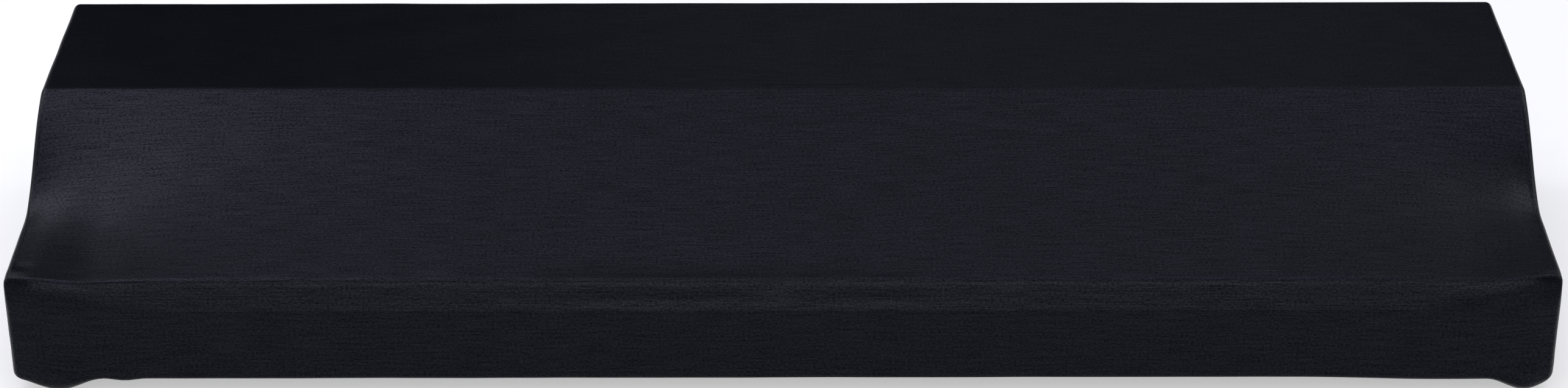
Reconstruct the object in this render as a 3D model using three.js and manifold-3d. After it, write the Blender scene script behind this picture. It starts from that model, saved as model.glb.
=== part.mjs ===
// A fitted dust cover for a long keyboard: one piece of stretch jersey, hollow, open underneath.
// Millimetres, +Z up, front towards -Y. The origin is on the underside of the flat top, at its middle.
import * as THREE from "three";
import { mergeVertices } from "three/addons/utils/BufferGeometryUtils.js";
import Module from "manifold-3d";

// Outer sizes of the cover as it hangs. Depths are taken from the front face, heights from the underside.
const WIDTH = 1284;
const DEPTH = 441;
const TOP_HEIGHT = 158;
const TOP_FRONT_DEPTH = 243;
const CLOTH = 1.5;

// The low front: a straight slanting lip over the key fronts, which turns into a round edge over the block
// at each end. Starts and full are distances from the end.
const RIDGE = { depth: 10, height: 87 };
const LIP_FOOT_HEIGHT = 62;
const LIP_ENDS = { starts: 19, full: 72 };
const LIP_STRAIGHT = { starts: 44, full: 84, power: 1.8 };
const BLOCK = { depth: 131, height: 90.5, bevel: 10 };
const END_CURVE = 4.5;

// How many times faster than in a plain skin the ends' shape dies away along the cover.
const END_FADE = 1.8;

// Roundings, and how far the ends, the back and the front face draw in.
const BOTTOM_RADIUS = 6;
const BACK_TOP_RADIUS = 9;
const END_RADIUS = 5;
const END_LEAN = 3;
const BACK_LEAN = 2;
const FACE_HOLLOW = 1;
const SPAN_SAG = 2;

// The hem turns under all round and leaves a mouth with round corners.
const HEM = 38;
const MOUTH_RADIUS = 45;
const MOUTH_REACH = 30;

// Slack cloth that hangs below the two lower front corners. side is -1 on the left and 1 on the right.
// The front edge is held up by a share of the drop.
const POUCHES = [
  { side: -1, fromEnd: 39, halfWidth: 41, drop: 11, depth: 9 },
  { side: 1, fromEnd: 25, halfWidth: 33, drop: 13, depth: 9 },
  { side: -1, fromEnd: 96, halfWidth: 18, drop: 2, depth: 6 },
  { side: 1, fromEnd: 95, halfWidth: 120, drop: 3, depth: 6 },
];
const POUCH = { reach: 26, height: 22, bulge: 0.25, hold: 0.4 };

// Long shallow folds in the taut cloth. turn is the angle from X in degrees.
const FOLDS = [
  { x: -35, depth: 24, halfLength: 165, turn: 0, halfWidth: 14, sink: 1.8 },
  { x: 175, depth: 203, halfLength: 95, turn: -14, halfWidth: 18, sink: 1.6 },
  { x: 590, depth: 195, halfLength: 60, turn: 38, halfWidth: 20, sink: 1.8 },
  { x: -30, depth: 262, halfLength: 130, turn: 6, halfWidth: 22, sink: 1.2 },
];

// How finely each stretch of the section and of the length is divided.
const PARTS = { hem: 3, arc: 3, face: 5, lip: 3, span: 16, top: 7, wall: 3 };
const STATIONS = [12, 19, 26, 34, 42, 51, 61, 72, 86, 104, 130, 165, 215, 275, 345, 410, 470, 530, 590];
const END_STEPS = 3;
const MEMBRANE_TERMS = 12;
const MEMBRANE_SAMPLES = 96;
const END_HUB = { depth: 245, height: 70 };

const MIDDLE = WIDTH / 2;
const SPAN_LENGTH = Math.hypot(TOP_FRONT_DEPTH - RIDGE.depth, TOP_HEIGHT - RIDGE.height);
const ORIGIN = { depth: (TOP_FRONT_DEPTH + DEPTH) / 2, height: TOP_HEIGHT - CLOTH };

const wasm = await Module();
wasm.setup();

const mix = THREE.MathUtils.lerp;
const smooth = THREE.MathUtils.smoothstep;
const bell = (value) => (Math.abs(value) < 1 ? 0.5 + 0.5 * Math.cos(Math.PI * value) : 0);

// Points from a to b, a left out, in equal steps.
function line(a, b, parts) {
  return Array.from({ length: parts }, (_, i) => a.clone().lerp(b, (i + 1) / parts));
}

// Points of a quarter circle about centre, from one angle to another, both ends in.
function arc(centre, radius, from, to, parts) {
  return Array.from({ length: parts + 1 }, (_, i) => {
    const angle = from + ((to - from) * i) / parts;
    return new THREE.Vector2(centre.x + radius * Math.cos(angle), centre.y + radius * Math.sin(angle));
  });
}

// Height of the cover's edge along its end: level over the block, then a slow S-curve up to the flat top.
function endHeight(depth) {
  const share = THREE.MathUtils.clamp((depth - BLOCK.depth) / (TOP_FRONT_DEPTH - BLOCK.depth), 0, 1);
  return mix(BLOCK.height, TOP_HEIGHT, share) - END_CURVE * Math.sin(2 * Math.PI * share);
}

// The sine waves that add up to the end's edge, taken from the straight line between block and flat top.
const WAVES = Array.from({ length: MEMBRANE_TERMS }, (_, i) => {
  let sum = 0;
  for (let k = 1; k < MEMBRANE_SAMPLES; k++) {
    const t = k / MEMBRANE_SAMPLES;
    const off = endHeight(mix(BLOCK.bevel, TOP_FRONT_DEPTH, t)) - mix(BLOCK.height, TOP_HEIGHT, t);
    sum += (2 * off * Math.sin((i + 1) * Math.PI * t)) / MEMBRANE_SAMPLES;
  }
  return sum;
});

// How far the taut span lies off the straight line between its two edges, at share t of the way up and at
// a distance from the end. Each wave dies away along the length at its own rate, as in a stretched skin.
function membrane(t, fromEnd) {
  return WAVES.reduce((sum, wave, i) => {
    const turn = (i + 1) * Math.PI;
    return sum + wave * Math.sin(turn * t) * Math.exp((-turn * END_FADE * fromEnd) / SPAN_LENGTH);
  }, 0);
}

// Points from the lip's foot up to its ridge, along part of a superellipse: a quarter circle over the end
// block, nearly straight in the middle.
function lipLine(foot, ridge, fromEnd) {
  const power = mix(1, LIP_STRAIGHT.power, smooth(fromEnd, LIP_STRAIGHT.starts, LIP_STRAIGHT.full));
  return Array.from({ length: PARTS.lip }, (_, i) => {
    const angle = ((i + 1) / PARTS.lip) * (Math.PI / 2);
    return new THREE.Vector2(
      mix(foot.x, ridge.x, 1 - Math.cos(angle) ** power),
      mix(foot.y, ridge.y, Math.sin(angle) ** power),
    );
  });
}

// The closed outline of the cover across its depth (x) and height (y), at a distance from its end.
function section(fromEnd) {
  const lip = smooth(fromEnd, LIP_ENDS.starts, LIP_ENDS.full);
  const foot = new THREE.Vector2(0, mix(BLOCK.height - BLOCK.bevel, LIP_FOOT_HEIGHT, lip));
  const ridge = new THREE.Vector2(mix(BLOCK.bevel, RIDGE.depth, lip), mix(BLOCK.height, RIDGE.height, lip));
  const edge = new THREE.Vector2(TOP_FRONT_DEPTH, TOP_HEIGHT);
  const span = Array.from({ length: PARTS.span }, (_, i) => {
    const t = 0.5 - 0.5 * Math.cos((Math.PI * (i + 1)) / PARTS.span);
    const point = ridge.clone().lerp(edge, t);
    point.y += membrane(t, fromEnd) - SPAN_SAG * lip * Math.sin(Math.PI * t);
    return point;
  });
  const right = Math.PI / 2;
  const frontCentre = new THREE.Vector2(BOTTOM_RADIUS, BOTTOM_RADIUS);
  const topCentre = new THREE.Vector2(DEPTH - BACK_TOP_RADIUS, TOP_HEIGHT - BACK_TOP_RADIUS);
  const backCentre = new THREE.Vector2(DEPTH - BACK_LEAN - BOTTOM_RADIUS, BOTTOM_RADIUS);
  const frontArc = arc(frontCentre, BOTTOM_RADIUS, -right, -2 * right, PARTS.arc);
  const topArc = arc(topCentre, BACK_TOP_RADIUS, right, 0, PARTS.arc);
  const backArc = arc(backCentre, BOTTOM_RADIUS, 0, -right, PARTS.arc);
  const last = (points) => points[points.length - 1];
  const face = line(last(frontArc), foot, PARTS.face);
  face.forEach((point) => {
    point.x += FACE_HOLLOW * lip * Math.sin((Math.PI * point.y) / foot.y);
  });
  const start = new THREE.Vector2(HEM, 0);
  return [
    start,
    ...line(start, frontArc[0], PARTS.hem).slice(0, -1),
    ...frontArc,
    ...face,
    ...lipLine(foot, ridge, fromEnd),
    ...span,
    ...line(edge, topArc[0], PARTS.top).slice(0, -1),
    ...topArc,
    ...line(last(topArc), backArc[0], PARTS.wall).slice(0, -1),
    ...backArc,
    ...line(last(backArc), new THREE.Vector2(DEPTH - HEM, 0), PARTS.hem),
  ];
}

// The outline moved inwards by a distance, each corner along its mitre.
function inset(points, distance) {
  const normal = (a, b) => new THREE.Vector2(b.y - a.y, a.x - b.x).normalize();
  return points.map((point, i) => {
    const before = normal(points.at(i - 1), point);
    const after = normal(point, points[(i + 1) % points.length]);
    const mitre = before.clone().add(after).divideScalar(1 + before.dot(after));
    return point.clone().addScaledVector(mitre, distance);
  });
}

// Where a point of the smooth form lies once the ends lean in, the folds sink and the pouches hang.
function settle(point) {
  const { x, y: depth, z } = point;
  const fromEnd = MIDDLE - Math.abs(x);
  const low = 1 - Math.min(z / BLOCK.height, 1);
  point.x -= (x / MIDDLE) * END_LEAN * low;
  for (const fold of FOLDS) {
    const turn = THREE.MathUtils.degToRad(fold.turn);
    const along = (x - fold.x) * Math.cos(turn) + (depth - fold.depth) * Math.sin(turn);
    const across = (depth - fold.depth) * Math.cos(turn) - (x - fold.x) * Math.sin(turn);
    const above = smooth(z, LIP_FOOT_HEIGHT, RIDGE.height);
    point.z -= fold.sink * above * bell(along / fold.halfLength) * bell(across / fold.halfWidth);
  }
  for (const pouch of POUCHES) {
    if (Math.sign(x) !== pouch.side) continue;
    const across = bell((fromEnd - pouch.fromEnd) / pouch.halfWidth);
    const back = bell(Math.max(depth - pouch.depth, 0) / POUCH.reach);
    const up = bell(Math.max(z, 0) / POUCH.height);
    const slack = across * back * up;
    const forward = 1 - smooth(depth, 0, pouch.depth);
    point.z -= pouch.drop * slack * (1 - POUCH.hold * forward);
    point.y -= pouch.drop * POUCH.bulge * slack * forward;
  }
}

// A closed solid through the outlines along the length. skin is how far inside the outer form it lies.
function body(skin) {
  const radius = END_RADIUS - skin;
  const ends = Array.from({ length: END_STEPS + 1 }, (_, i) => {
    const angle = (i / END_STEPS) * (Math.PI / 2);
    return { fromEnd: skin + radius * (1 - Math.sin(angle)), drawn: skin + radius * (1 - Math.cos(angle)) };
  });
  const half = [...ends.reverse(), ...STATIONS.map((fromEnd) => ({ fromEnd, drawn: skin }))];
  const stations = [
    ...half.map((station) => ({ ...station, side: -1 })),
    { fromEnd: MIDDLE, drawn: skin, side: 1 },
    ...half.toReversed().map((station) => ({ ...station, side: 1 })),
  ];
  const rings = stations.map(({ fromEnd, drawn }) => inset(section(fromEnd), drawn));
  const count = rings[0].length;
  const position = stations.flatMap(({ fromEnd, side }, i) =>
    rings[i].flatMap((point) => [side * (MIDDLE - fromEnd), point.x, point.y]));
  const index = [];
  for (let i = 0; i + 1 < rings.length; i++) {
    for (let j = 0; j < count; j++) {
      const [a, b] = [i * count + j, i * count + ((j + 1) % count)];
      index.push(a, b + count, b, a, a + count, b + count);
    }
  }
  const last = (rings.length - 1) * count;
  const hubs = [rings.length * count, rings.length * count + 1];
  for (const side of [-1, 1]) position.push(side * (MIDDLE - skin), END_HUB.depth, END_HUB.height);
  for (let j = 0; j < count; j++) {
    const next = (j + 1) % count;
    index.push(hubs[0], j, next, hubs[1], last + next, last + j);
  }
  return solid(position, index);
}

// A closed solid from points and faces, with each point settled.
function solid(position, index) {
  const point = new THREE.Vector3();
  const vertProperties = new Float32Array(position);
  for (let i = 0; i < position.length; i += 3) {
    point.fromArray(vertProperties, i);
    settle(point);
    point.toArray(vertProperties, i);
  }
  const triVerts = new Uint32Array(index);
  return new wasm.Manifold(new wasm.Mesh({ numProp: 3, vertProperties, triVerts }));
}

// The space under the mouth: a block with round corners, through the turned-under hem.
function mouth() {
  const [x, y] = [MIDDLE - HEM, DEPTH / 2 - HEM];
  const shape = new THREE.Shape();
  shape.absarc(x - MOUTH_RADIUS, y - MOUTH_RADIUS, MOUTH_RADIUS, 0, Math.PI / 2);
  shape.absarc(MOUTH_RADIUS - x, y - MOUTH_RADIUS, MOUTH_RADIUS, Math.PI / 2, Math.PI);
  shape.absarc(MOUTH_RADIUS - x, MOUTH_RADIUS - y, MOUTH_RADIUS, Math.PI, 1.5 * Math.PI);
  shape.absarc(x - MOUTH_RADIUS, MOUTH_RADIUS - y, MOUTH_RADIUS, 1.5 * Math.PI, 2 * Math.PI);
  const block = new THREE.ExtrudeGeometry(shape, { depth: MOUTH_REACH, bevelEnabled: false, curveSegments: 6 });
  block.translate(0, DEPTH / 2, -MOUTH_REACH / 2);
  block.deleteAttribute("normal");
  block.deleteAttribute("uv");
  const merged = mergeVertices(block, 1e-3);
  return new wasm.Manifold(new wasm.Mesh({
    numProp: 3,
    vertProperties: merged.attributes.position.array,
    triVerts: new Uint32Array(merged.index.array),
  }));
}

// The sheet itself: the outer form less the space inside it and the mouth.
function coverGeometry() {
  const sheet = body(0).subtract(body(CLOTH)).subtract(mouth()).getMesh();
  const geometry = new THREE.BufferGeometry();
  geometry.setAttribute("position", new THREE.BufferAttribute(sheet.vertProperties, 3));
  geometry.setIndex(new THREE.BufferAttribute(sheet.triVerts, 1));
  geometry.translate(0, -ORIGIN.depth, -ORIGIN.height);
  geometry.computeVertexNormals();
  return geometry;
}

const jersey = new THREE.MeshStandardMaterial({ color: 0x1b1b21, roughness: 0.85, metalness: 0 });
const cover = new THREE.Mesh(coverGeometry(), jersey);
cover.name = "cover";

const group = new THREE.Group();
group.add(cover);

export default group;
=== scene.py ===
"""Looks of a fitted dust cover for a long keyboard: one piece of taut stretch jersey, hemmed underneath.

The form is worked out in millimetres: x along the length, depth from the front face, and height from the
underside.
"""

import logging
import math
from dataclasses import dataclass, field
from enum import Enum
from typing import NamedTuple

import bpy
import numpy as np
from mathutils import Matrix, Vector


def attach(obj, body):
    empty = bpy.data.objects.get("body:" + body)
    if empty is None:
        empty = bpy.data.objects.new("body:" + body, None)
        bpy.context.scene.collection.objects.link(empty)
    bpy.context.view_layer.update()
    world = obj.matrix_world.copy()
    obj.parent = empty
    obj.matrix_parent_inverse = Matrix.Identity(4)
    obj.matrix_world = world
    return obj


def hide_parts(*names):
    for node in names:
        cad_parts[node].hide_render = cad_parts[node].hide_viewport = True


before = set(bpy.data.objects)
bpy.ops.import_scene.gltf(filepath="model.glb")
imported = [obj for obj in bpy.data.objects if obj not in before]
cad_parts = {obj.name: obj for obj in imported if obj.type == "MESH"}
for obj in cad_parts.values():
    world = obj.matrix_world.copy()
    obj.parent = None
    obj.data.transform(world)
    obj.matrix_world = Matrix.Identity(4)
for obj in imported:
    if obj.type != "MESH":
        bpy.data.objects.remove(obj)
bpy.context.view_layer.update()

LOG = logging.getLogger("cover")
CUT_MAP = "cut"
MM = 0.001
IMAGE_WIDTH_PX = 2576
SENSOR_MM = 36.0
GRADING_SAMPLES = 4001
COOL_LIGHT = "#eeeeff"
BLUISH_LIGHT = "#e6e6ff"
# The row's origin, on the underside of the flat top: depth from the front face and height, in millimetres.
ORIGIN_MM = np.array([0.0, 342.0, 156.5])

Array = np.ndarray
Stretch = tuple[tuple[float, ...], tuple[float, ...]]


def smooth(value: Array, low: float, high: float) -> Array:
    """Rises from 0 at low to 1 at high, level at both: 3 t squared less 2 t cubed.

    Args:
        value: where it is read.
        low: where the rise starts.
        high: where the rise ends.

    Returns:
        The share risen, from 0 to 1.
    """
    t = np.clip((value - low) / (high - low), 0.0, 1.0)
    return t * t * (3.0 - 2.0 * t)


def bell(value: Array) -> Array:
    """A raised cosine: 1 at 0, falling to 0 at -1 and at 1 and level at all three."""
    return 0.5 + 0.5 * np.cos(np.pi * np.clip(value, -1.0, 1.0))


def mix(a: Array, b: Array, share: Array) -> Array:
    """The value at that share of the way from a to b."""
    return a + (b - a) * share


def graded(stretch: Stretch) -> Array:
    """Positions whose spacing changes smoothly: the running sum of 1 / spacing is cut into equal parts.

    Args:
        stretch: rising places, both ends in, and the spacing wanted at each.

    Returns:
        The positions, both ends in.
    """
    places, steps = stretch
    fine = np.linspace(places[0], places[-1], GRADING_SAMPLES)
    rate = 1.0 / np.interp(fine, places, steps)
    total = np.concatenate([[0.0], np.cumsum(0.5 * (rate[1:] + rate[:-1]) * np.diff(fine))])
    return np.interp(np.linspace(0.0, total[-1], round(total[-1]) + 1), total, fine)


def to_linear(colour: str) -> tuple[float, float, float, float]:
    """Turns an sRGB hex colour such as #1b1b21 into linear RGBA."""
    channels = [int(colour[i : i + 2], 16) / 255.0 for i in (1, 3, 5)]
    linear = [c / 12.92 if c <= 0.04045 else ((c + 0.055) / 1.055) ** 2.4 for c in channels]
    return (linear[0], linear[1], linear[2], 1.0)


def add_node(
    tree: bpy.types.NodeTree, kind: str, inputs: dict | None = None, **settings: object
) -> bpy.types.Node:
    """Adds a node to a material.

    Args:
        tree: the material's node tree.
        kind: the node's type name.
        inputs: input name or number to a value, or to the socket that feeds it.
        **settings: the node's own properties.

    Returns:
        The new node.
    """
    node = tree.nodes.new(kind)
    for name, setting in settings.items():
        setattr(node, name, setting)
    for name, source in (inputs or {}).items():
        if isinstance(source, bpy.types.NodeSocket):
            tree.links.new(source, node.inputs[name])
        else:
            node.inputs[name].default_value = source
    return node


def new_material(name: str) -> bpy.types.Material:
    """Makes a material whose node tree is empty."""
    material = bpy.data.materials.new(name)
    material.use_nodes = True
    material.node_tree.nodes.clear()
    return material


def add_object(name: str, data: bpy.types.ID) -> bpy.types.Object:
    """Makes an object of that data in the scene."""
    item = bpy.data.objects.new(name, data)
    bpy.context.scene.collection.objects.link(item)
    return item


class Face(Enum):
    """Which face of the cover a point or a fold lies on: the roof, then the sides in order round it."""

    ROOF = 0
    FRONT = 1
    RIGHT = 2
    BACK = 3
    LEFT = 4


class Fold(NamedTuple):
    """A long shallow trough in the cloth, or a ridge where sink is negative. Millimetres and degrees.

    along and up are the coordinates of its middle: x and depth on the roof, x and height on the front and
    back, depth and height on the ends. far_width is the half width on its upper side, where that differs.
    """

    along: float
    up: float
    half_length: float
    half_width: float
    sink: float
    turn: float = 0.0
    far_width: float | None = None

    def depth_at(self, a: Array, b: Array) -> Array:
        """How far the fold sinks the cloth: a raised cosine along it times one across it.

        Args:
            a: the first coordinate on the fold's face.
            b: the second one.

        Returns:
            The depth below the taut cloth at each point.
        """
        turn = math.radians(self.turn)
        run = (a - self.along) * math.cos(turn) + (b - self.up) * math.sin(turn)
        across = (b - self.up) * math.cos(turn) - (a - self.along) * math.sin(turn)
        width = np.where(across > 0.0, self.far_width or self.half_width, self.half_width)
        return self.sink * bell(run / self.half_length) * bell(across / width)


@dataclass(frozen=True)
class Pouch:
    """Slack cloth that hangs below a lower front corner. Millimetres.

    side is -1 on the left and 1 on the right. The lowest line is at depth. The pouch ends at reach behind
    it and at height above it. The front edge goes down by hold and forwards by bulge times the drop.
    """

    side: int
    from_end: float
    half_width: float
    drop: float
    depth: float
    hold: float
    reach: float = 26.0
    height: float = 22.0
    bulge: float = 0.25

    def hang(self, points: Array, half_length: float) -> None:
        """Lowers the points of the pouch and swells its front forwards, both by raised cosines.

        Args:
            points: points of the cover, changed in place.
            half_length: half the cover's length.
        """
        x, depth, z = points.T.copy()
        from_middle = half_length - np.abs(x) - self.from_end
        across = bell(from_middle / self.half_width) * (np.sign(x) == self.side)
        back = bell(np.maximum(depth - self.depth, 0.0) / self.reach)
        slack = across * back * bell(np.maximum(z, 0.0) / self.height)
        forward = 1.0 - smooth(depth, 0.0, self.depth)
        points[:, 2] -= self.drop * slack * (1.0 - (1.0 - self.hold) * forward)
        points[:, 1] -= self.drop * self.bulge * slack * forward


@dataclass
class Sheet:
    """A surface as whole arrays: points, faces, and each face corner's place on the flat cut.

    lies_on is the number in Face of each point's face. ring holds the numbers of the skirt's points, row by
    row down from the roof's edge.
    """

    points: Array
    quads: Array
    triangles: Array
    quad_cut: Array
    triangle_cut: Array
    lies_on: Array
    ring: Array

    def normals(self) -> Array:
        """The unit normal at each point: the cross products of its faces' diagonals or sides, added up."""
        total = np.zeros_like(self.points)
        a, b, c, d = (self.points[corner] for corner in self.quads.T)
        facing = np.cross(c - a, d - b)
        for corner in self.quads.T:
            np.add.at(total, corner, facing)
        a, b, c = (self.points[corner] for corner in self.triangles.T)
        facing = np.cross(b - a, c - a)
        for corner in self.triangles.T:
            np.add.at(total, corner, facing)
        return total / np.maximum(np.linalg.norm(total, axis=1, keepdims=True), 1e-12)

    def to_object(self, name: str) -> bpy.types.Object:
        """Makes the mesh object in metres in the row's frame, smooth shaded, with the cut as its UV map.

        Args:
            name: the piece's name.

        Returns:
            The object.
        """
        mesh = bpy.data.meshes.new(name)
        places = (self.points - ORIGIN_MM) * MM
        mesh.from_pydata(places.tolist(), [], self.quads.tolist() + self.triangles.tolist())
        cut = np.concatenate([self.quad_cut.reshape(-1, 2), self.triangle_cut.reshape(-1, 2)]) * MM
        mesh.uv_layers.new(name=CUT_MAP).data.foreach_set("uv", cut.astype(np.float32).ravel())
        mesh.polygons.foreach_set("use_smooth", np.ones(len(mesh.polygons), bool))
        mesh.update()
        return add_object(name, mesh)


@dataclass(frozen=True)
class StretchJersey:
    """Polyester and elastane jersey, knitted fine and dyed blue-black.

    Its fine loops glint a little one by one, so it shows a soft cool gloss, broken up by a fine grain.
    """

    name: str = "stretch_jersey"
    colour: str = "#08090c"
    worn_colour: str = "#0b0c10"
    gloss_colour: str = "#e2e6ff"
    roughness: float = 0.32
    refraction: float = 1.5
    course_mm: float = 1.3
    wale_mm: float = 1.1
    # Sizes along the cover and across it.
    grain_mm: tuple[float, float] = (2.25, 1.5)
    streak_mm: tuple[float, float] = (34.0, 1.8)
    cloud_mm: tuple[float, float] = (46.0, 46.0)
    # How far each pattern stands out, in millimetres, and how strongly it is drawn.
    streak_bump: tuple[float, float] = (0.20, 0.4)
    grain_bump: tuple[float, float] = (0.12, 0.7)
    loop_bump: tuple[float, float] = (0.10, 0.5)
    # The patterns' values at which wear and gloss start and end, and the gloss at both.
    worn_range: tuple[float, float] = (0.12, 0.38)
    shine_range: tuple[float, float] = (0.5, 1.05)
    gloss: tuple[float, float] = (0.015, 0.178)
    streak_share: float = 0.55

    def build(self) -> bpy.types.Material:
        """Makes the material.

        Clouds times grain vary the colour. Grain and tension streaks vary the gloss, and with the loops
        they make the bump.

        Returns:
            The material.
        """
        material = new_material(self.name)
        tree = material.node_tree
        cut = add_node(tree, "ShaderNodeUVMap", uv_map=CUT_MAP).outputs["UV"]
        in_mm = add_node(
            tree, "ShaderNodeMapping", {"Vector": cut, "Scale": (1 / MM, 1 / MM, 1.0)}).outputs[0]

        def noise(size_mm: tuple[float, float], detail: float) -> bpy.types.NodeSocket:
            """Noise whose lumps have about that size along the cover and across it."""
            scale = (1.0 / size_mm[0], 1.0 / size_mm[1], 1.0)
            stretched = add_node(tree, "ShaderNodeMapping", {"Vector": in_mm, "Scale": scale}).outputs[0]
            inputs = {"Vector": stretched, "Scale": 1.0, "Detail": detail}
            return add_node(tree, "ShaderNodeTexNoise", inputs).outputs[0]

        def rows(direction: str, pitch: float) -> bpy.types.NodeSocket:
            """Rows of loops, one for each pitch. A wave texture of scale 1 has a period of pi / 10."""
            inputs = {"Vector": in_mm, "Scale": math.pi / 10.0 / pitch, "Distortion": 0.6, "Detail": 1.0}
            return add_node(tree, "ShaderNodeTexWave", inputs, bands_direction=direction).outputs[1]

        clouds = noise(self.cloud_mm, 3.0)
        grain = noise(self.grain_mm, 2.0)
        streaks = noise(self.streak_mm, 2.0)
        # The real loops are half a millimetre apart. They are drawn about twice as coarse, so they show.
        loops = add_node(
            tree, "ShaderNodeMath", {0: rows("Y", self.course_mm), 1: rows("X", self.wale_mm)},
            operation="MULTIPLY")
        tone = add_node(tree, "ShaderNodeMath", {0: clouds, 1: grain}, operation="MULTIPLY")
        spread = add_node(tree, "ShaderNodeMapRange", {
            "Value": tone.outputs[0], "From Min": self.worn_range[0], "From Max": self.worn_range[1]})
        colour = add_node(
            tree, "ShaderNodeMix",
            {0: spread.outputs["Result"], 6: to_linear(self.colour), 7: to_linear(self.worn_colour)},
            data_type="RGBA")
        # The glints are really as fine as the loops. They are drawn two or three times as coarse.
        shine = add_node(
            tree, "ShaderNodeMath", {0: streaks, 1: self.streak_share, 2: grain}, operation="MULTIPLY_ADD")
        glints = add_node(tree, "ShaderNodeMapRange", {
            "Value": shine.outputs[0], "From Min": self.shine_range[0], "From Max": self.shine_range[1],
            "To Min": self.gloss[0], "To Max": self.gloss[1]})
        bump = None
        for height, (distance, strength) in (
                (streaks, self.streak_bump), (grain, self.grain_bump), (loops.outputs[0], self.loop_bump)):
            inputs = {"Height": height, "Distance": distance * MM, "Strength": strength}
            if bump:
                inputs["Normal"] = bump.outputs["Normal"]
            bump = add_node(tree, "ShaderNodeBump", inputs)
        shader = add_node(tree, "ShaderNodeBsdfPrincipled", {
            "Base Color": colour.outputs[2],
            "Roughness": self.roughness,
            "IOR": self.refraction,
            "Specular IOR Level": glints.outputs["Result"],
            "Specular Tint": to_linear(self.gloss_colour),
            "Normal": bump.outputs["Normal"],
        })
        add_node(tree, "ShaderNodeOutputMaterial", {"Surface": shader.outputs["BSDF"]})
        return material


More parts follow.
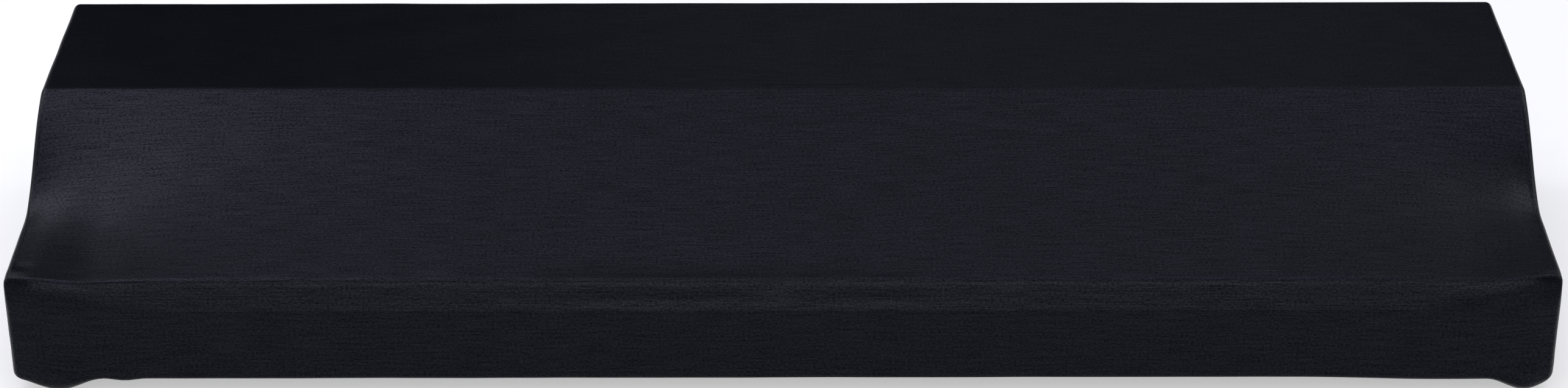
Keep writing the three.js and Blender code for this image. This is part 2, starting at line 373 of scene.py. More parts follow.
@dataclass(frozen=True)
class CoverForm:
    """The cover's outer form as it hangs, in millimetres. Pairs named ends are distances from an end."""

    half_length: float = 642.0
    depth: float = 441.0
    top_height: float = 158.0
    top_front: float = 243.0
    ridge_depth: float = 10.0
    ridge_height: float = 87.0
    foot_height: float = 62.0
    lip_ends: tuple[float, float] = (19.0, 72.0)
    lip_straight: float = 2.0
    crisp_ends: tuple[float, float] = (30.0, 125.0)
    block_depth: float = 131.0
    block_height: float = 90.5
    end_curve: float = 3.9
    edge_radius: float = 6.0
    back_radius: float = 9.0
    bottom_radius: float = 5.0
    panel_edge: float = 4.0
    ridge_edge: float = 4.0
    foot_edge: float = 1.6
    end_lean: float = 3.0
    back_lean: float = 2.0
    back_lean_reach: float = 114.0
    face_hollow: float = 1.0
    # How far the front's corners are drawn back, and over what length and depth.
    corner_draw: float = 2.4
    corner_reach: float = 28.0
    corner_depth: float = 42.0
    # How far the blocks' front corners are pressed in, over what reach, and which way on the right.
    blunt: float = 2.4
    blunt_reach: float = 26.0
    blunt_way: tuple[float, float, float] = (-0.15, 0.7, -0.7)
    span_sag: float = 2.0
    hem: float = 38.0
    mouth_radius: float = 45.0
    # How fast the ends' shape dies away along the cover, where 1 is as in a plain stretched skin.
    fade: float = 0.8
    waves: int = 14
    samples: int = 96

    def from_end(self, x: Array) -> Array:
        """Distance of a point from the nearer end."""
        return self.half_length - np.abs(x)

    def lip_share(self, x: Array) -> Array:
        """How much of the lip over the key fronts has formed: 0 over an end block, 1 along the middle."""
        return smooth(self.from_end(x), *self.lip_ends)

    def end_height(self, depth: Array) -> Array:
        """Height of the edge along an end: level over the block, then a slow S-curve up to the flat top.

        The S-curve is the straight line less end_curve times one full sine wave.

        Args:
            depth: places from the front face.

        Returns:
            The heights.
        """
        share = np.clip((depth - self.block_depth) / (self.top_front - self.block_depth), 0.0, 1.0)
        return mix(self.block_height, self.top_height, share) - self.end_curve * np.sin(2.0 * np.pi * share)

    def membrane(self, t: Array, from_end: Array) -> Array:
        """How far the taut span lies off the straight line between its two edges.

        The end's edge, taken from that line, is a sum of sine waves. Wave n dies away along the length as
        exp(-fade n pi distance / span length).

        Args:
            t: share of the way up the span.
            from_end: distance from the end.

        Returns:
            The height to add.
        """
        places = np.arange(1, self.samples) / self.samples
        edge = self.end_height(mix(self.ridge_depth, self.top_front, places))
        off = edge - mix(self.block_height, self.top_height, places)
        turns = np.pi * np.arange(1, self.waves + 1)
        sizes = 2.0 / self.samples * off @ np.sin(np.outer(places, turns))
        length = math.hypot(self.top_front - self.ridge_depth, self.top_height - self.ridge_height)
        total = np.zeros(np.broadcast(t, from_end).shape)
        for size, turn in zip(sizes, turns):
            total += size * np.sin(turn * t) * np.exp(-turn * from_end * self.fade / length)
        return total

    def roof_height(self, x: Array, depth: Array) -> Array:
        """Height of the taut roof: the span between straight edges, the membrane, the sag and the flat top.

        The sag is half a sine wave. The flat top's front edge is rounded by a parabola over panel_edge on
        both sides of it.

        Args:
            x: places along the length.
            depth: places from the front face, behind the ridge.

        Returns:
            The height of the outer surface.
        """
        share = self.lip_share(x)
        t = np.clip((depth - self.ridge_depth) / (self.top_front - self.ridge_depth), 0.0, 1.0)
        ridge = mix(self.block_height, self.ridge_height, share)
        height = mix(ridge, self.top_height, t) + self.membrane(t, self.from_end(x))
        sag = self.span_sag * share * np.sin(np.pi * t)
        slope = (self.top_height - self.ridge_height) / (self.top_front - self.ridge_depth)
        near = np.clip(self.panel_edge - np.abs(depth - self.top_front), 0.0, None)
        return height - sag - slope * near**2 / (4.0 * self.panel_edge)

    def mouth_point(self, outline: Array) -> Array:
        """The point of the mouth's rounded rectangle that is nearest to a point of the plan outside it.

        The point is clamped to the rectangle through the corner circles' centres, then moved out again by
        the corner radius.

        Args:
            outline: points of the plan.

        Returns:
            The mouth's points.
        """
        inner = self.hem + self.mouth_radius
        low = np.array([inner - self.half_length, inner])
        centre = np.clip(outline, low, np.array([self.half_length - inner, self.depth - inner]))
        out = outline - centre
        return centre + self.mouth_radius * out / np.linalg.norm(out, axis=-1, keepdims=True)

    def round_edges(self, points: Array) -> None:
        """Rounds the ridge and the lip's foot by a parabola over a reach on both sides of each, in place.

        At a distance u from the edge the surface goes in by tan(turn / 2) (reach - u) squared / (2 reach),
        where turn is the angle by which the surface turns at the edge.

        Args:
            points: the cover's points.
        """
        crisp = smooth(self.from_end(points[:, 0]), *self.crisp_ends) * (points[:, 1] < self.top_front)
        base, foot = (0.0, 0.0), (0.0, self.foot_height)
        ridge, top = (self.ridge_depth, self.ridge_height), (self.top_front, self.top_height)
        for before, edge, after, reach in (
                (foot, ridge, top, self.ridge_edge), (base, foot, ridge, self.foot_edge)):
            first = np.subtract(edge, before) / math.dist(edge, before)
            second = np.subtract(after, edge) / math.dist(after, edge)
            inwards = second - first
            half_turn = math.asin(np.linalg.norm(inwards) / 2.0)
            inwards /= np.linalg.norm(inwards)
            away = np.linalg.norm(points[:, 1:] - np.array(edge), axis=1) * math.cos(half_turn)
            near = np.clip(reach - away, 0.0, None)
            points[:, 1:] += inwards * (crisp * math.tan(half_turn) * near**2 / (2.0 * reach))[:, None]

    def blunt_corners(self, points: Array) -> None:
        """Presses the blocks' front corners in, in place, by a raised cosine of the distance from them.

        Args:
            points: the cover's points.
        """
        corner = np.array([self.half_length, 0.0, self.block_height])
        side = np.sign(points[:, :1]) * [1.0, 0.0, 0.0] + [0.0, 1.0, 1.0]
        away = np.linalg.norm(points - corner * side, axis=1, keepdims=True)
        points += self.blunt * bell(away / self.blunt_reach) * side * self.blunt_way

    def lean(self, points: Array) -> None:
        """Leans the ends and the back in below, and draws the front's corners back, in place.

        The lean is in proportion to the fall. The drawing back is a raised cosine of the distance from the
        end.

        Args:
            points: the cover's points.
        """
        x, depth, z = points.T.copy()
        forward = 1.0 - smooth(depth, 0.0, self.corner_depth)
        points[:, 1] += self.corner_draw * bell(self.from_end(x) / self.corner_reach) * forward
        end_fall = 1.0 - np.clip(z / self.block_height, 0.0, 1.0)
        points[:, 0] -= x / self.half_length * self.end_lean * end_fall
        back_fall = 1.0 - np.clip(z / (self.top_height - self.back_radius), 0.0, 1.0)
        points[:, 1] -= self.back_lean * back_fall * smooth(
            depth, self.depth - self.back_lean_reach, self.depth)


@dataclass(frozen=True)
class Unevenness:
    """The cloth's own slight unevenness: waves of several lengths and headings, mostly along the cover.

    height is that of the longest wave, in millimetres. stretched is how many times longer a wave is along
    the cover than across it.
    """

    waves: int = 26
    height: float = 0.035
    across_mm: tuple[float, float] = (28.0, 110.0)
    stretched: tuple[float, float] = (1.2, 4.0)
    seed: int = 11

    def depth_at(self, x: Array, across: Array) -> Array:
        """Adds up the waves: each is a cosine whose height is in proportion to its length across the cloth.

        Args:
            x: places along the cover.
            across: places across it, followed down its faces.

        Returns:
            The depth below the taut cloth.
        """
        draw = np.random.default_rng(self.seed)
        length = draw.uniform(*self.across_mm, self.waves)
        along = length * draw.uniform(*self.stretched, self.waves) * draw.choice([-1.0, 1.0], self.waves)
        phase = draw.uniform(0.0, 2.0 * np.pi, self.waves)
        size = self.height * length / self.across_mm[1]
        total = np.zeros(len(x))
        for wave in range(self.waves):
            periods = x / along[wave] + across / length[wave]
            total += size[wave] * np.cos(2.0 * np.pi * periods + phase[wave])
        return total


@dataclass
class Skirt:
    """What hangs from the roof's edge: one entry for each column, in order round it from the front left.

    start is the column's point on the roof's edge, and outline its wall's place in plan. The wall starts at
    the height foot, and power shapes the curve above it. lip is the share of the lip over the key fronts,
    run the distance round the cover, and face the number in Face.
    """

    start: Array
    outline: Array
    foot: Array
    power: Array
    lip: Array
    run: Array
    face: Array


@dataclass(frozen=True)
class SewingThread:
    """Spun polyester sewing thread, dyed to match. It is a little glossier than the jersey."""

    name: str = "spun_polyester_thread"
    colour: str = "#121217"
    roughness: float = 0.42
    gloss: float = 0.3
    ply_mm: float = 0.6
    # How far the plies stand out, in millimetres, and how strongly they are drawn.
    ply_bump: tuple[float, float] = (0.1, 0.6)

    def build(self) -> bpy.types.Material:
        """Makes the material: the plies show as fine bands across each stitch."""
        material = new_material(self.name)
        tree = material.node_tree
        place = add_node(tree, "ShaderNodeTexCoord").outputs["Object"]
        plies = add_node(
            tree, "ShaderNodeTexWave", {"Vector": place, "Scale": math.pi / 10.0 / (self.ply_mm * MM)},
            bands_direction="DIAGONAL")
        distance, strength = self.ply_bump
        bump = add_node(tree, "ShaderNodeBump", {
            "Height": plies.outputs[1], "Distance": distance * MM, "Strength": strength})
        shader = add_node(tree, "ShaderNodeBsdfPrincipled", {
            "Base Color": to_linear(self.colour), "Roughness": self.roughness,
            "Specular IOR Level": self.gloss, "Normal": bump.outputs["Normal"]})
        add_node(tree, "ShaderNodeOutputMaterial", {"Surface": shader.outputs["BSDF"]})
        return material


@dataclass(frozen=True)
class HemStitching:
    """Two rows of straight stitches on the underside, which hold the turned-in hem. Millimetres."""

    # Distances of the rows from the mouth.
    rows: tuple[float, ...] = (8.0, 10.6)
    pitch: float = 3.6
    length: float = 2.9
    radius: float = 0.34
    sides: int = 5
    # Places along a stitch in shares of its length, with the thread's thickness and how far it stands out
    # there in shares of its radius.
    profile: tuple[tuple[float, float, float], ...] = (
        (-0.5, 0.35, -0.6), (-0.3, 0.9, 0.35), (0.0, 1.0, 0.6), (0.3, 0.9, 0.35), (0.5, 0.35, -0.6))
    tips: tuple[float, float] = (-0.6, 0.6)
    # How far ahead of a stitch's middle the line's heading is read.
    ahead: float = 0.5

    @staticmethod
    def line(flange: Array, row: float) -> Array:
        """The closed line on the flange that keeps a distance from the mouth, between the flange's rows.

        Args:
            flange: the flange's points, row by row towards the mouth and round it.
            row: the distance from the mouth.

        Returns:
            The line's points. The first one is repeated at the end.
        """
        back = np.linalg.norm(flange - flange[-1], axis=-1)
        inner = np.argmax(back < row, axis=0)
        column = np.arange(flange.shape[1])
        far, near = back[inner - 1, column], back[inner, column]
        share = ((far - row) / (far - near))[:, None]
        line = mix(flange[inner - 1, column], flange[inner, column], share)
        return np.concatenate([line, line[:1]])

    def tubes(self, line: Array) -> Array:
        """Lays stitches at even steps along a line. Each is a closed tube round a shallow arch.

        Args:
            line: the closed line's points.

        Returns:
            The points, as stitches by points by three. A stitch's points are its rings, one after another,
            and then its two tips.
        """
        run = np.concatenate([[0.0], np.cumsum(np.linalg.norm(np.diff(line, axis=0), axis=1))])
        number = round(run[-1] / self.pitch)
        at = (np.arange(number) + 0.5) * run[-1] / number

        def on_line(place: Array) -> Array:
            """The points of the line at those distances along it."""
            return np.stack([np.interp(place, run, line[:, axis]) for axis in range(3)], axis=-1)

        centre = on_line(at)
        along = on_line(at + self.ahead) - centre
        along /= np.linalg.norm(along, axis=1, keepdims=True)
        down = np.array([0.0, 0.0, -1.0])
        side = np.cross(along, down)
        side /= np.linalg.norm(side, axis=1, keepdims=True)
        shares, thick, stand = (np.array(column) for column in zip(*self.profile))
        spine = (
            centre[:, None] + along[:, None] * (shares * self.length)[None, :, None]
            + down * (stand * self.radius)[None, :, None])
        turn = np.arange(self.sides) / self.sides * 2.0 * np.pi
        ring = side[:, None] * np.cos(turn)[None, :, None] + down * np.sin(turn)[None, :, None]
        body = spine[:, :, None] + ring[:, None] * (thick * self.radius)[None, :, None, None]
        tips = centre[:, None] + along[:, None] * (np.array(self.tips) * self.length)[None, :, None]
        return np.concatenate([body.reshape(number, -1, 3), tips - down * self.radius], axis=1)

    def faces(self, number: int) -> list[list[int]]:
        """Lists the corners of the stitches' faces: quads between the rings, and triangles to the tips.

        Args:
            number: how many stitches there are.

        Returns:
            The numbers of each face's points.
        """
        last_ring = (len(self.profile) - 1) * self.sides
        each = last_ring + self.sides + 2
        cell = np.arange(last_ring)
        beside = cell // self.sides * self.sides + (cell + 1) % self.sides
        quads = np.stack([cell, beside, beside + self.sides, cell + self.sides], axis=-1)
        first = np.arange(self.sides)
        last = first + last_ring
        triangles = np.concatenate([
            np.stack([np.full(self.sides, each - 2), np.roll(first, -1), first], axis=-1),
            np.stack([np.full(self.sides, each - 1), last, np.roll(last, -1)], axis=-1)])
        starts = np.arange(number)[:, None, None] * each
        return (quads + starts).reshape(-1, 4).tolist() + (triangles + starts).reshape(-1, 3).tolist()

    def build(self, flange: Array) -> bpy.types.Object:
        """Joins the stitches of all rows in one mesh.

        Args:
            flange: the settled points of the turned-under cloth, row by row towards the mouth and round it.

        Returns:
            The stitches' object.
        """
        threads = np.concatenate([self.tubes(self.line(flange, row)) for row in self.rows])
        places = (threads.reshape(-1, 3) - ORIGIN_MM) * MM
        mesh = bpy.data.meshes.new("hem_stitches")
        mesh.from_pydata(places.tolist(), [], self.faces(len(threads)))
        mesh.polygons.foreach_set("use_smooth", np.ones(len(mesh.polygons), bool))
        return add_object("hem_stitches", mesh)


@dataclass
class FittedCover:
    """The cover's cloth and its hem stitches. Sizes are in millimetres."""

    form: CoverForm = field(default_factory=CoverForm)
    cloth: float = 1.2
    hem_fold: float = 13.0
    turn_radius: float = 1.4
    # The flat cut is the stretched cloth's own width and length, with its corners rounded off.
    flat_cut: tuple[float, float] = (1.66, 0.80)
    cut_area: float = 1.17
    # How finely the roof is divided along its half length and across its depth.
    along: Stretch = ((0.0, 480.0, 560.0, 615.0, 636.0), (9.0, 9.0, 5.0, 2.8, 2.0))
    across: Stretch = (
        (10.0, 16.0, 40.0, 130.0, 225.0, 240.0, 246.0, 262.0, 343.0, 425.0, 432.0),
        (1.0, 1.2, 3.2, 5.0, 3.6, 1.2, 1.2, 3.2, 5.6, 4.0, 2.0),
    )
    corner_steps: int = 6
    lip_steps: int = 18
    wall_steps: int = 11
    bottom_steps: int = 4
    turn_steps: int = 4
    flange_shares: tuple[float, ...] = (0.1, 0.22, 0.37, 0.55, 0.77, 1.0)
    hem_shares: tuple[float, ...] = (0.3, 0.65, 1.0)
    pouches: tuple[Pouch, ...] = (
        Pouch(side=-1, from_end=41, half_width=39, drop=12.6, depth=8, hold=0.45),
        Pouch(side=1, from_end=27, half_width=33, drop=12.6, depth=8, hold=0.5),
        Pouch(side=-1, from_end=96, half_width=18, drop=2, depth=6, hold=0.6),
        Pouch(side=1, from_end=95, half_width=120, drop=3, depth=6, hold=0.6),
    )
    unevenness: Unevenness = field(default_factory=Unevenness)
    folds: dict[Face, tuple[Fold, ...]] = field(default_factory=lambda: {
        Face.ROOF: (
            # The sag behind the ridge: two hollows, the wider one left of the middle.
            Fold(-75, 38, 250, 30, 1.5, far_width=150), Fold(-72, 22, 200, 14, 1.1, far_width=60),
            Fold(84, 22, 90, 14, 0.8, far_width=60),
            # The V below the flat top's edge, and the long crease from it to the right.
            Fold(107, 210, 30, 5, -1.2, turn=24), Fold(104, 187, 28, 5, -1.1, turn=-36),
            Fold(60, 216, 26, 4, 0.7, turn=-14), Fold(30, 196, 34, 5, -0.7, turn=10),
            Fold(-10, 212, 24, 4, 0.6), Fold(190, 192, 75, 8, 0.75, turn=-6),
            Fold(-124, 209, 14, 6, 0.7, turn=-12), Fold(-42, 125, 30, 7, 0.6),
            # The hollow behind the left block's front edge.
            Fold(-629, 30, 14, 10, 0.5),
            # Tension lines that fan out from the flat top's front corners.
            Fold(579, 202, 26, 5, 0.8, turn=-40), Fold(586, 172, 16, 5, 0.7, turn=-34),
            Fold(620, 226, 20, 5, -0.6, turn=34), Fold(-584, 178, 26, 7, 0.6, turn=-38),
            Fold(-548, 208, 15, 6, 0.3, turn=-20),
            # Long ripples on the flat top, behind its edge.
            Fold(-110, 292, 90, 5, 0.5, turn=-12), Fold(-30, 275, 80, 5, -0.45, turn=-13),
            Fold(-20, 262, 70, 6, 0.55, turn=-3), Fold(20, 252, 90, 5, 0.5),
            Fold(60, 285, 110, 6, -0.4, turn=-4),
        ),
        Face.FRONT: (
            # Two long troughs halfway down the lip over the key fronts.
            Fold(-112, 72, 115, 8, 0.45), Fold(82, 72, 75, 8, 0.4), Fold(-80, 72, 480, 8, 0.12),
            # Drag lines low on the face, left of the middle.
            Fold(-104, 15, 36, 4.5, -1.4, turn=-5), Fold(-115, 36, 50, 5, -1.1, turn=-5),
            Fold(-120, 26, 46, 5, 1.1, turn=-4), Fold(-20, 45, 45, 6, 0.8, turn=-8),
            # The lines across the slack cloth, which hangs on below the front's lower edge.
            Fold(-596, 9, 44, 4, -1.1), Fold(-600, 3, 36, 4, 0.9), Fold(612, 10, 40, 4, -1.0, turn=6),
            Fold(616, 4, 30, 4, 0.9, turn=-10), Fold(600, 17, 22, 4, 0.7, turn=14),
            # The pocket beside the right end block, and the step down the face below it.
            Fold(614, 75, 17, 8, 1.7, turn=42), Fold(611, 38, 46, 9, 0.7, turn=90),
        ),
        Face.RIGHT: (
            Fold(60, 48, 60, 12, 0.7, turn=-22), Fold(170, 60, 80, 13, 0.8, turn=24),
            Fold(300, 82, 110, 16, 0.9, turn=-12), Fold(400, 70, 60, 11, -0.6, turn=75),
        ),
        Face.LEFT: (
            Fold(50, 44, 60, 11, 0.8, turn=24), Fold(190, 66, 85, 14, 0.8, turn=-20),
            Fold(320, 90, 100, 15, 0.9, turn=14), Fold(405, 64, 62, 11, -0.6, turn=80),
        ),
        Face.BACK: (
            Fold(-430, 92, 170, 15, 0.9, turn=7), Fold(-150, 60, 220, 18, 0.8, turn=-4),
            Fold(190, 96, 190, 16, 0.8, turn=5), Fold(470, 62, 150, 14, 0.9, turn=-9),
            Fold(590, 76, 62, 10, -0.6, turn=70), Fold(-596, 70, 60, 10, -0.6, turn=-72),
        ),
    })

    def columns(self) -> Array:
        """Places of the roof's columns along the length, the same on both sides of the middle."""
        half = graded(self.along)
        return np.concatenate([-half[:0:-1], half])

    def roof(self) -> tuple[Array, Array]:
        """The roof as a grid: the taut height over the columns and the rows across the depth.

        Returns:
            The points, as rows by columns by three, and the arc length along each column.
        """
        x, depth = np.meshgrid(self.columns(), graded(self.across))
        points = np.stack([x, depth, self.form.roof_height(x, depth)], axis=-1)
        steps = np.linalg.norm(np.diff(points, axis=0), axis=-1)
        return points, np.concatenate([np.zeros((1, x.shape[1])), np.cumsum(steps, axis=0)])

    def skirt(self, roof: Array) -> Skirt:
        """Lists the skirt's columns: along each side of the roof, and in a quarter ellipse at each corner.

        Args:
            roof: the roof's grid of points.

        Returns:
            The columns.
        """
        form = self.form
        front, right, back, left = roof[0], roof[:, -1], roof[-1, ::-1], roof[::-1, 0]
        # Each side's face, its edge of the roof, how far its wall stands out of it, and the wall's height.
        sides = (
            (Face.FRONT, front, np.array([0.0, -form.ridge_depth]), np.full(len(front), form.foot_height)),
            (Face.RIGHT, right, np.array([form.edge_radius, 0.0]), right[:, 2] - form.edge_radius),
            (Face.BACK, back, np.array([0.0, form.back_radius]), back[:, 2] - form.back_radius),
            (Face.LEFT, left, np.array([-form.edge_radius, 0.0]), left[:, 2] - form.edge_radius),
        )
        turn = np.arange(1, self.corner_steps) / self.corner_steps * math.pi / 2.0
        parts = []
        for (side, edge, out, foot), (_, _, next_out, next_foot) in zip(sides, sides[1:] + sides[:1]):
            fan = out * np.cos(turn)[:, None] + next_out * np.sin(turn)[:, None]
            corner = np.repeat(edge[-1:], len(turn), axis=0)
            parts.append((
                np.concatenate([edge, corner]),
                np.concatenate([edge[:, :2] + out, corner[:, :2] + fan]),
                np.concatenate([foot, mix(foot[-1], next_foot[0], np.sin(turn) ** 2)]),
                np.full(len(edge) + len(turn), side.value),
            ))
        start, outline, foot, face = (np.concatenate(part) for part in zip(*parts))
        steps = np.linalg.norm(np.diff(outline, axis=0, append=outline[:1]), axis=1)
        run = outline[0, 0] + np.concatenate([[0.0], np.cumsum(steps)])
        on_front = face == Face.FRONT.value
        crisp = smooth(form.from_end(start[:, 0]), *form.crisp_ends) * on_front
        lip = form.lip_share(start[:, 0]) * on_front
        return Skirt(start, outline, foot, mix(1.0, form.lip_straight, crisp), lip, run, face)

    def hanging(self, skirt: Skirt) -> Array:
        """The skirt's points, row by row, down from the roof's edge and in under the cover.

        Each column is part of a superellipse from the roof's edge to the top of the wall, the wall, a
        quarter circle, the turned-under flange, and the hem, which turns up in a half circle and lies back
        on the flange.

        Args:
            skirt: its columns.

        Returns:
            The points, as rows by columns by three. The roof's edge itself is left out.
        """
        form = self.form
        rows = []

        def add(plan: Array, height: Array) -> None:
            """Adds a row of points."""
            rows.append(np.column_stack([plan, np.broadcast_to(height, len(plan))]))

        start, top = skirt.start[:, :2], skirt.start[:, 2]
        for step in range(1, self.lip_steps + 1):
            angle = math.pi / 2.0 * (1.0 - step / self.lip_steps)
            inward = (1.0 - math.cos(angle) ** skirt.power)[:, None]
            add(mix(skirt.outline, start, inward), mix(skirt.foot, top, math.sin(angle) ** skirt.power))
        for step in range(1, self.wall_steps + 1):
            height = mix(skirt.foot, form.bottom_radius, step / self.wall_steps)
            hollow = form.face_hollow * skirt.lip * np.sin(np.pi * height / skirt.foot)
            add(skirt.outline + np.column_stack([np.zeros_like(hollow), hollow]), height)
        mouth = form.mouth_point(skirt.outline)
        inward = mouth - skirt.outline
        inward /= np.linalg.norm(inward, axis=1, keepdims=True)
        for step in range(1, self.bottom_steps + 1):
            angle = math.pi / 2.0 * step / self.bottom_steps
            add(skirt.outline + inward * form.bottom_radius * (1.0 - math.cos(angle)),
                form.bottom_radius * (1.0 - math.sin(angle)))
        inner = skirt.outline + inward * form.bottom_radius
        for share in self.flange_shares:
            add(mix(inner, mouth, share), 0.0)
        for step in range(1, self.turn_steps + 1):
            angle = math.pi * step / self.turn_steps
            add(mouth + inward * self.turn_radius * math.sin(angle),
                self.turn_radius * (1.0 - math.cos(angle)))
        for share in self.hem_shares:
            add(mouth - inward * self.hem_fold * share, 2.0 * self.turn_radius)
        return np.array(rows)

    def sheet(self) -> Sheet:
        """Joins the roof and the skirt into one taut surface.

        Several columns start from each corner of the roof, so the topmost strips there are triangles.

        Returns:
            The surface.
        """
        roof, arc = self.roof()
        rows, columns = arc.shape
        skirt = self.skirt(roof)
        hanging = self.hanging(skirt)
        number = np.arange(rows * columns).reshape(rows, columns)
        ring = np.arange(hanging.shape[0] * hanging.shape[1]).reshape(hanging.shape[:2]) + number.size
        edges = (number[0], number[:, -1], number[-1, ::-1], number[::-1, 0])
        rim = np.concatenate([np.append(edge, [edge[-1]] * (self.corner_steps - 1)) for edge in edges])
        ring = np.concatenate([rim[None], ring])
        points = np.concatenate([roof.reshape(-1, 3), hanging.reshape(-1, 3)])

        cells = np.stack([number[:-1, :-1], number[:-1, 1:], number[1:, 1:], number[1:, :-1]], axis=-1)
        place = np.stack([roof[..., 0], arc], axis=-1).reshape(-1, 2)
        roof_quads = cells.reshape(-1, 4)

        following = np.roll(ring, -1, axis=1)
        fall = np.linalg.norm(np.diff(points[ring], axis=0), axis=-1)
        fall = np.concatenate([np.zeros((1, ring.shape[1])), np.cumsum(fall, axis=0)])
        strips = np.stack([ring[1:], following[1:], following[:-1], ring[:-1]], axis=-1)
        left, right = (np.broadcast_to(run, fall.shape) for run in (skirt.run[:-1], skirt.run[1:]))
        next_fall = np.roll(fall, -1, axis=1)
        strip_cut = np.stack([
            np.stack([left[1:], -fall[1:]], axis=-1),
            np.stack([right[1:], -next_fall[1:]], axis=-1),
            np.stack([right[:-1], -next_fall[:-1]], axis=-1),
            np.stack([left[:-1], -fall[:-1]], axis=-1),
        ], axis=-2)
        pointed = np.zeros(strips.shape[:2], bool)
        pointed[0] = rim == np.roll(rim, -1)
        hangs_on = np.broadcast_to(skirt.face, hanging.shape[:2]).ravel()
        return Sheet(
            points,
            np.concatenate([roof_quads, strips[~pointed]]),
            strips[pointed][:, :3],
            np.concatenate([place[roof_quads], strip_cut[~pointed]]),
            strip_cut[pointed][:, :3],
            np.concatenate([np.full(number.size, Face.ROOF.value), hangs_on]),
            ring,
        )

    def crease(self, sheet: Sheet) -> None:
        """Sinks the folds and the unevenness into the taut surface along its normals, in place.

        Args:
            sheet: the surface.
        """
        x, depth, z = sheet.points.T
        sunk = self.unevenness.depth_at(x, depth - z)
        for face, folds in self.folds.items():
            on = sheet.lies_on == face.value
            along = (depth if face in (Face.LEFT, Face.RIGHT) else x)[on]
            up = (depth if face is Face.ROOF else z)[on]
            for fold in folds:
                sunk[on] += fold.depth_at(along, up)
        sheet.points -= sheet.normals() * sunk[:, None]

    def settle(self, sheet: Sheet) -> None:
        """Gives the taut surface its rounded edges, its lean, its folds and its slack cloth, in place.

        Args:
            sheet: the surface.
        """
        self.form.round_edges(sheet.points)
        self.form.blunt_corners(sheet.points)
        self.form.lean(sheet.points)
        self.crease(sheet)
        for pouch in self.pouches:
            pouch.hang(sheet.points, self.form.half_length)

    def build(self) -> list[bpy.types.Object]:
        """Makes the cloth and its stitches, gives the cloth its thickness and declares both.

        Returns:
            The cover's pieces.
        """
        sheet = self.sheet()
        self.settle(sheet)
        first = self.lip_steps + self.wall_steps + self.bottom_steps
        flange = sheet.points[sheet.ring[first : first + len(self.flange_shares) + 1]]
        stitches = HemStitching().build(flange)
        stitches.data.materials.append(SewingThread().build())
        cloth = sheet.to_object("cover_cloth")
        cloth.data.materials.append(StretchJersey().build())
        thick = cloth.modifiers.new("thickness", "SOLIDIFY")
        thick.thickness = self.cloth * MM
        thick.offset = -1.0
        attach(cloth, "root")
        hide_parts("cover")
        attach(stitches, "root")
        return [cloth, stitches]


@dataclass(frozen=True)
class ViewCamera:
    """A long lens in front of the cover and above it. Millimetres, degrees and pixels of the image."""

    place: tuple[float, float, float] = (1.27, -3125.94, 1627.30)
    pitch: float = 25.0
    yaw: float = -0.008
    roll: float = -0.0933
    focal_px: float = 6980.7
    clip_end_mm: float = 100000.0

    def build(self) -> bpy.types.Object:
        """Makes the camera and the scene's view through it."""
        data = bpy.data.cameras.new("camera")
        data.sensor_fit = "HORIZONTAL"
        data.sensor_width = SENSOR_MM
        data.lens = self.focal_px * SENSOR_MM / IMAGE_WIDTH_PX
        data.clip_end = self.clip_end_mm * MM
        camera = add_object("camera", data)
        place = Matrix.Translation(Vector((np.array(self.place) - ORIGIN_MM) * MM))
        heading = Matrix.Rotation(math.radians(-self.yaw), 4, "Z")
        tilt = Matrix.Rotation(math.radians(90.0 - self.pitch), 4, "X")
        camera.matrix_world = place @ heading @ tilt @ Matrix.Rotation(math.radians(self.roll), 4, "Z")
        bpy.context.scene.camera = camera
        return camera


@dataclass(frozen=True)
class SoftBox:
    """A rectangular studio light that faces a point of the cover. Metres and watts."""

    name: str
    place: tuple[float, float, float]
    size: tuple[float, float]
    power: float
    aim: tuple[float, float, float] = (0.0, -0.12, -0.08)
    colour: str = "#ffffff"

    def build(self) -> bpy.types.Object:
        """Makes the light and turns it towards its aim."""
        data = bpy.data.lights.new(self.name, "AREA")
        data.shape = "RECTANGLE"
        data.size, data.size_y = self.size
        data.energy = self.power
        data.color = to_linear(self.colour)[:3]
        light = add_object(self.name, data)
        light.location = self.place
        light.rotation_euler = (Vector(self.aim) - Vector(self.place)).to_track_quat("-Z", "Y").to_euler()
        return light


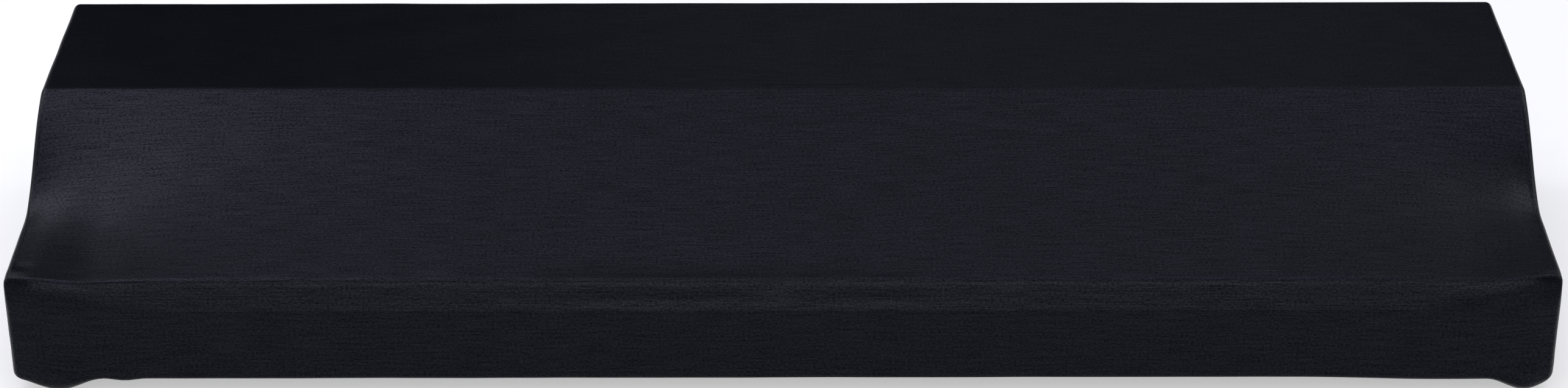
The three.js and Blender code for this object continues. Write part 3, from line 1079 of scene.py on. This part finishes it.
@dataclass
class Studio:
    """A plain pale floor that glows a little, a dark sky and soft boxes round the cover."""

    floor_height_mm: float = -19.0
    floor_size: float = 14.0
    floor_colour: str = "#bcbcbc"
    floor_roughness: float = 0.9
    glow_colour: str = "#f4f4f4"
    floor_glow: float = 0.5
    boxes: tuple[SoftBox, ...] = (
        SoftBox("overhead", (0.0, 0.2, 2.4), (3.0, 1.8), 25.8, colour=COOL_LIGHT),
        SoftBox("over_front", (0.0, -0.9, 2.4), (3.4, 0.5), 18.0, colour=COOL_LIGHT),
        SoftBox("over_left", (-1.2, 0.3, 2.0), (1.2, 1.2), 9.4, colour=COOL_LIGHT),
        SoftBox("over_right", (1.2, 0.3, 2.0), (1.2, 1.2), 0.54, colour=COOL_LIGHT),
        SoftBox("front_high", (0.0, -2.4, 2.2), (3.0, 1.0), 23.0),
        SoftBox("over_rear", (0.0, 1.4, 2.2), (3.0, 1.0), 6.6, colour=COOL_LIGHT),
        SoftBox("rear_middle", (0.5, 2.4, 1.8), (2.6, 0.8), 0.9, colour=BLUISH_LIGHT),
        SoftBox("rear_low", (0.45, 3.0, 1.4), (1.7, 0.7), 1.2, colour=BLUISH_LIGHT),
        SoftBox("rear_low_right", (2.4, 2.0, 0.8), (1.0, 0.7), 0.93),
        SoftBox("far_left", (-2.0, 0.5, 1.5), (1.0, 1.0), 3.4, colour=COOL_LIGHT),
        SoftBox("far_right", (2.0, 0.5, 1.5), (1.0, 1.0), 3.4, colour=COOL_LIGHT),
        SoftBox("left_side", (-2.7, -0.3, 0.9), (1.4, 0.8), 8.0),
        SoftBox("right_side", (2.7, -0.3, 0.9), (1.4, 0.8), 5.0),
        SoftBox("left_rear", (-2.4, 1.0, 0.9), (1.0, 1.0), 5.2),
        SoftBox("right_rear", (2.4, 1.0, 0.9), (1.0, 1.0), 4.31),
        SoftBox("right_wide", (2.5, 0.3, 1.3), (1.8, 1.5), 5.0),
        SoftBox("front_low", (0.0, -3.4, 0.7), (4.0, 1.0), 12.0),
        SoftBox("front_middle", (0.0, -3.0, 1.5), (3.0, 1.0), 33.0),
        SoftBox("low_left", (-2.8, -2.6, 0.45), (2.4, 0.8), 9.0),
        SoftBox("low_right", (2.8, -2.6, 0.45), (2.4, 0.8), 7.0),
        SoftBox("near_left_rear", (-1.2, 0.6, 0.8), (0.6, 0.6), 2.9, colour=COOL_LIGHT),
        SoftBox("near_right_rear", (1.2, 0.6, 0.8), (0.6, 0.6), 1.37, colour=COOL_LIGHT),
    )

    def build(self) -> None:
        """Makes the floor, the sky and the lights."""
        scene = bpy.context.scene
        mesh = bpy.data.meshes.new("studio_floor")
        half, low = self.floor_size / 2.0, (self.floor_height_mm - ORIGIN_MM[2]) * MM
        corners = [(-half, -half, low), (half, -half, low), (half, half, low), (-half, half, low)]
        mesh.from_pydata(corners, [], [(0, 1, 2, 3)])
        floor = add_object("studio_floor", mesh)
        paint = bpy.data.materials.new("matt_floor_paint")
        paint.use_nodes = True
        shader = paint.node_tree.nodes["Principled BSDF"]
        shader.inputs["Base Color"].default_value = to_linear(self.floor_colour)
        shader.inputs["Roughness"].default_value = self.floor_roughness
        shader.inputs["Emission Color"].default_value = to_linear(self.glow_colour)
        shader.inputs["Emission Strength"].default_value = self.floor_glow
        mesh.materials.append(paint)

        world = bpy.data.worlds.new("studio_sky")
        world.use_nodes = True
        # All the light comes from the boxes and the floor.
        world.node_tree.nodes["Background"].inputs["Strength"].default_value = 0.0
        scene.world = world
        for box in self.boxes:
            box.build()
        scene.view_settings.view_transform = "Standard"


def main() -> None:
    """Builds the camera, the studio and the cover."""
    logging.basicConfig(level=logging.INFO, format="%(name)s: %(message)s")
    ViewCamera().build()
    Studio().build()
    for piece in FittedCover().build():
        LOG.info("%s: %d faces", piece.name, len(piece.data.polygons))


if __name__ == "__main__":
    main()
